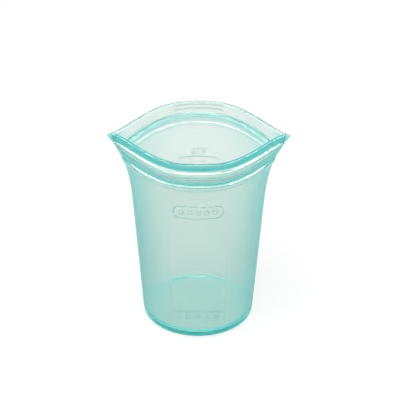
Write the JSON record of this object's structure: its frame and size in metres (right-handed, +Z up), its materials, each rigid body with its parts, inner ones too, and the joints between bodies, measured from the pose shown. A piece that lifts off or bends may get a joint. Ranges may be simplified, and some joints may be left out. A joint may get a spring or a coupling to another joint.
{
  "type": "reusable silicone bag",
  "caption": "Stand-up translucent silicone storage bag with a round flat base, a flared lens-shaped mouth and a press-to-close rib and channel zip.",
  "frame": {"origin": "centre of the flat underside", "axes": "+Z up, +X towards one pointed corner of the mouth, -Y the front with the rib strip, +Y the back with the channel strip and grip ridges"},
  "size_m": [0.122, 0.0954, 0.1395],
  "materials": {
    "frosted_silicone": "frosted translucent",
    "zip_silicone": "glossy translucent",
    "mark_silicone": "glossy raised"
  },
  "bodies": {
    "cup": {"base_floor": "frosted_silicone", "cup_wall": "frosted_silicone", "front_panel": "frosted_silicone", "back_panel": "frosted_silicone", "left_corner_web": "frosted_silicone", "right_corner_web": "frosted_silicone", "fill_line": "mark_silicone", "fill_numerals": "mark_silicone", "emblem": "mark_silicone", "care_marks": "mark_silicone"},
    "front_link_1": {"rib_rail_1": "zip_silicone", "front_lip_1": "frosted_silicone"},
    "front_link_2": {"rib_rail_2": "zip_silicone", "front_lip_2": "frosted_silicone"},
    "front_link_3": {"rib_rail_3": "zip_silicone", "front_lip_3": "frosted_silicone"},
    "front_link_4": {"rib_rail_4": "zip_silicone", "front_lip_4": "frosted_silicone"},
    "front_link_5": {"rib_rail_5": "zip_silicone", "front_lip_5": "frosted_silicone"},
    "front_link_6": {"rib_rail_6": "zip_silicone", "front_lip_6": "frosted_silicone"},
    "front_link_7": {"rib_rail_7": "zip_silicone", "front_lip_7": "frosted_silicone"},
    "back_link_1": {"channel_rail_1": "zip_silicone", "back_lip_1": "frosted_silicone"},
    "back_link_2": {"channel_rail_2": "zip_silicone", "back_lip_2": "frosted_silicone"},
    "back_link_3": {"channel_rail_3": "zip_silicone", "back_lip_3": "frosted_silicone", "grip_ridge_1": "mark_silicone"},
    "back_link_4": {"channel_rail_4": "zip_silicone", "back_lip_4": "frosted_silicone", "grip_ridge_2": "mark_silicone"},
    "back_link_5": {"channel_rail_5": "zip_silicone", "back_lip_5": "frosted_silicone", "grip_ridge_3": "mark_silicone"},
    "back_link_6": {"channel_rail_6": "zip_silicone", "back_lip_6": "frosted_silicone"},
    "back_link_7": {"channel_rail_7": "zip_silicone", "back_lip_7": "frosted_silicone"}
  },
  "joints": [
    {"name": "front_zip_close", "type": "slide", "parent": "cup", "child": "front_link_4", "axis": [0, 1, 0], "range_m": [0, 0.04217], "stiffness_N_per_m": 60, "deforming": ["front_panel", "left_corner_web", "right_corner_web"]},
    {"name": "front_hinge_4_5", "type": "hinge", "parent": "front_link_4", "child": "front_link_5", "pos_m": [0.00799, -0.04692, 0.1259], "axis": [0, 0, 1], "range_deg": [-22.94, 0]},
    {"name": "front_hinge_5_6", "type": "hinge", "parent": "front_link_5", "child": "front_link_6", "pos_m": [0.02258, -0.04074, 0.1259], "axis": [0, 0, 1], "range_deg": [-20.28, 0]},
    {"name": "front_hinge_6_7", "type": "hinge", "parent": "front_link_6", "child": "front_link_7", "pos_m": [0.03421, -0.02982, 0.1259], "axis": [0, 0, 1], "range_deg": [-10.21, 0]},
    {"name": "front_hinge_3_4", "type": "hinge", "parent": "front_link_4", "child": "front_link_3", "pos_m": [-0.00799, -0.04692, 0.1259], "axis": [0, 0, 1], "range_deg": [0, 22.94]},
    {"name": "front_hinge_2_3", "type": "hinge", "parent": "front_link_3", "child": "front_link_2", "pos_m": [-0.02258, -0.04074, 0.1259], "axis": [0, 0, 1], "range_deg": [0, 20.28]},
    {"name": "front_hinge_1_2", "type": "hinge", "parent": "front_link_2", "child": "front_link_1", "pos_m": [-0.03421, -0.02982, 0.1259], "axis": [0, 0, 1], "range_deg": [0, 10.21]},
    {"name": "back_zip_close", "type": "slide", "parent": "cup", "child": "back_link_4", "axis": [0, -1, 0], "range_m": [0, 0.04217], "deforming": ["back_panel"]},
    {"name": "back_hinge_4_5", "type": "hinge", "parent": "back_link_4", "child": "back_link_5", "pos_m": [0.00799, 0.04692, 0.1259], "axis": [0, 0, 1], "range_deg": [0, 22.94]},
    {"name": "back_hinge_5_6", "type": "hinge", "parent": "back_link_5", "child": "back_link_6", "pos_m": [0.02258, 0.04074, 0.1259], "axis": [0, 0, 1], "range_deg": [0, 20.28]},
    {"name": "back_hinge_6_7", "type": "hinge", "parent": "back_link_6", "child": "back_link_7", "pos_m": [0.03421, 0.02982, 0.1259], "axis": [0, 0, 1], "range_deg": [0, 10.21]},
    {"name": "back_hinge_3_4", "type": "hinge", "parent": "back_link_4", "child": "back_link_3", "pos_m": [-0.00799, 0.04692, 0.1259], "axis": [0, 0, 1], "range_deg": [-22.94, 0]},
    {"name": "back_hinge_2_3", "type": "hinge", "parent": "back_link_3", "child": "back_link_2", "pos_m": [-0.02258, 0.04074, 0.1259], "axis": [0, 0, 1], "range_deg": [-20.28, 0]},
    {"name": "back_hinge_1_2", "type": "hinge", "parent": "back_link_2", "child": "back_link_1", "pos_m": [-0.03421, 0.02982, 0.1259], "axis": [0, 0, 1], "range_deg": [-10.21, 0]}
  ],
  "couplings": [
    {"joint": "front_hinge_4_5", "follows": "front_zip_close", "rad_per_m": -9.4958},
    {"joint": "front_hinge_5_6", "follows": "front_zip_close", "rad_per_m": -8.3942},
    {"joint": "front_hinge_6_7", "follows": "front_zip_close", "rad_per_m": -4.227},
    {"joint": "front_hinge_3_4", "follows": "front_zip_close", "rad_per_m": 9.4958},
    {"joint": "front_hinge_2_3", "follows": "front_zip_close", "rad_per_m": 8.3942},
    {"joint": "front_hinge_1_2", "follows": "front_zip_close", "rad_per_m": 4.227},
    {"joint": "back_zip_close", "follows": "front_zip_close", "ratio": 1},
    {"joint": "back_hinge_4_5", "follows": "front_zip_close", "rad_per_m": 9.4958},
    {"joint": "back_hinge_5_6", "follows": "front_zip_close", "rad_per_m": 8.3942},
    {"joint": "back_hinge_6_7", "follows": "front_zip_close", "rad_per_m": 4.227},
    {"joint": "back_hinge_3_4", "follows": "front_zip_close", "rad_per_m": -9.4958},
    {"joint": "back_hinge_2_3", "follows": "front_zip_close", "rad_per_m": -8.3942},
    {"joint": "back_hinge_1_2", "follows": "front_zip_close", "rad_per_m": -4.227}
  ]
}
